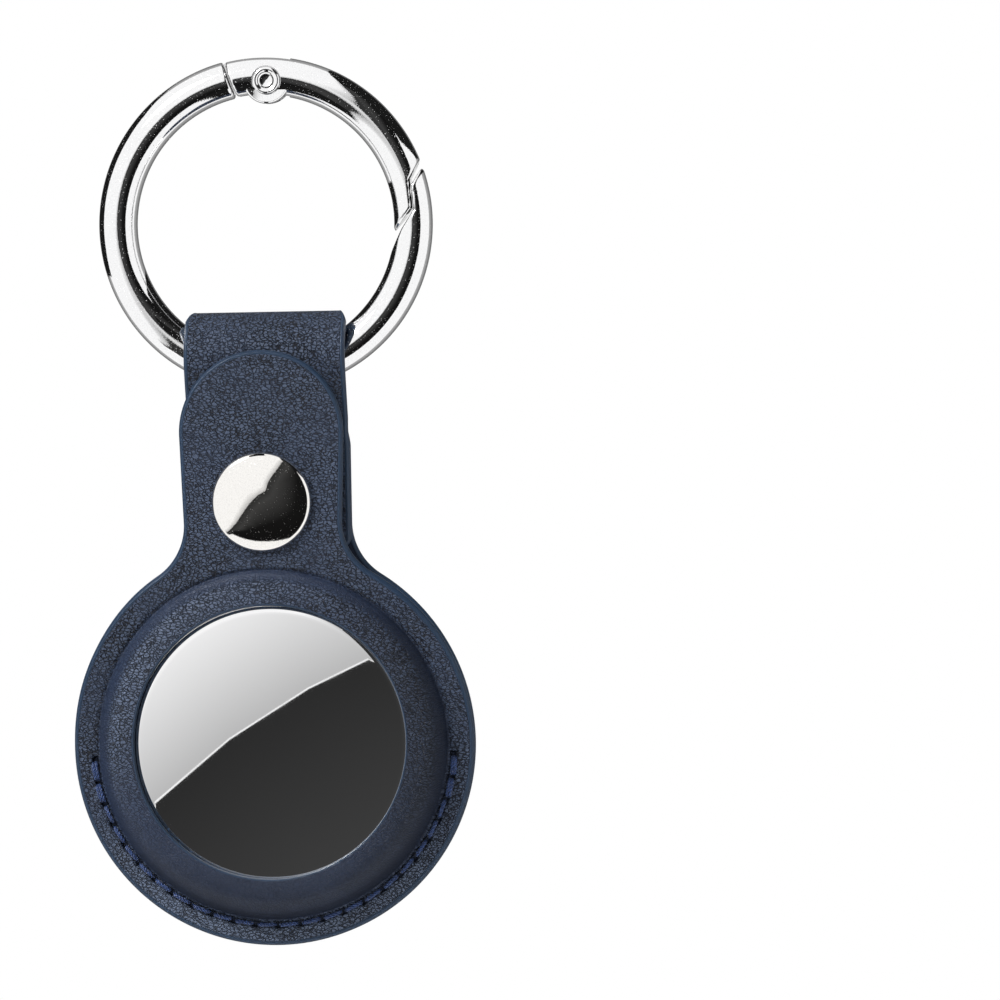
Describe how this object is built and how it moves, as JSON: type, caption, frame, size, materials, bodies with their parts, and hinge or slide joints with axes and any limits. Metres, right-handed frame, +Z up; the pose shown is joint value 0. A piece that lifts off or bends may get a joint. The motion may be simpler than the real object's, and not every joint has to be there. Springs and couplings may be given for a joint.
{
  "type": "tracker tag holder",
  "caption": "Leather holder that snaps shut over a round tracker tag, with a spring gate ring in a folded strap.",
  "frame": {"origin": "middle of the flat back of the tag pocket, at the height of the tag's centre", "axes": "+Z up the strap towards the ring, +Y out of the back, -Y out of the front with the window, +X to the right seen from the front"},
  "size_m": [0.039, 0.0121, 0.0861],
  "materials": {
    "outer_leather": "navy leather with a fine pebble grain and blue painted edges",
    "lining_leather": "smooth navy lining",
    "thread": "bonded polyester thread",
    "snap_nickel": "polished nickel plate",
    "spring_wire": "spring steel",
    "ring_chrome": "bright chrome plate",
    "tag_white": "glossy white",
    "tag_steel": "mirror-polished stainless steel",
    "seal_rubber": "soft black rubber",
    "tray_plastic": "moulded white plastic",
    "cell_steel": "nickel-plated can",
    "contact_brass": "gold-flashed spring contacts",
    "board_laminate": "solder-masked board",
    "magnet_iron": "plated magnet and yoke",
    "coil_copper": "enamelled copper winding"
  },
  "bodies": {
    "ring": {"ring_body": "ring_chrome", "gate_pin": "ring_chrome"},
    "gate": {"gate": "ring_chrome", "gate_spring": "spring_wire"},
    "holder": {"back_panel": "outer_leather", "back_lining": "lining_leather", "front_panel": "outer_leather", "front_lining": "lining_leather", "seam_thread": "thread", "back_cap": "snap_nickel", "snap_stud": "snap_nickel"},
    "flap": {"front_flap": "outer_leather", "flap_lining": "lining_leather", "front_cap": "snap_nickel", "snap_socket": "snap_nickel", "socket_spring": "spring_wire"},
    "tag": {"tag_shell": "tag_white", "cover_seal": "seal_rubber", "battery_tray": "tray_plastic", "coin_cell": "cell_steel", "battery_contacts": "contact_brass", "circuit_board": "board_laminate", "antenna_frame": "tray_plastic", "speaker_magnet": "magnet_iron", "voice_coil": "coil_copper"},
    "cover": {"tag_cover": "tag_steel"}
  },
  "joints": [
    {"name": "ring_swing", "type": "hinge", "parent": "ring", "child": "holder", "pos_m": [0, -0.00455, 0.03744], "axis": [1, 0, 0], "range_deg": [-150, 120]},
    {"name": "gate_swing", "type": "hinge", "parent": "ring", "child": "gate", "pos_m": [0.00046, -0.00455, 0.0644], "axis": [0, 1, 0], "range_deg": [0, 28], "stiffness_Nm_per_rad": 0.01, "springref_deg": -5.73, "deforming": ["gate_spring"]},
    {"name": "flap_open", "type": "hinge", "parent": "holder", "child": "flap", "pos_m": [0, -0.0105, 0.0008], "axis": [1, 0, 0], "range_deg": [0, 70]},
    {"name": "tag_spin", "type": "hinge", "parent": "holder", "child": "tag", "pos_m": [0, -0.00525, 0], "axis": [0, 1, 0], "continuous": true},
    {"name": "cover_twist", "type": "hinge", "parent": "tag", "child": "cover", "pos_m": [0, -0.00525, 0], "axis": [0, 1, 0], "range_deg": [0, 20]}
  ]
}
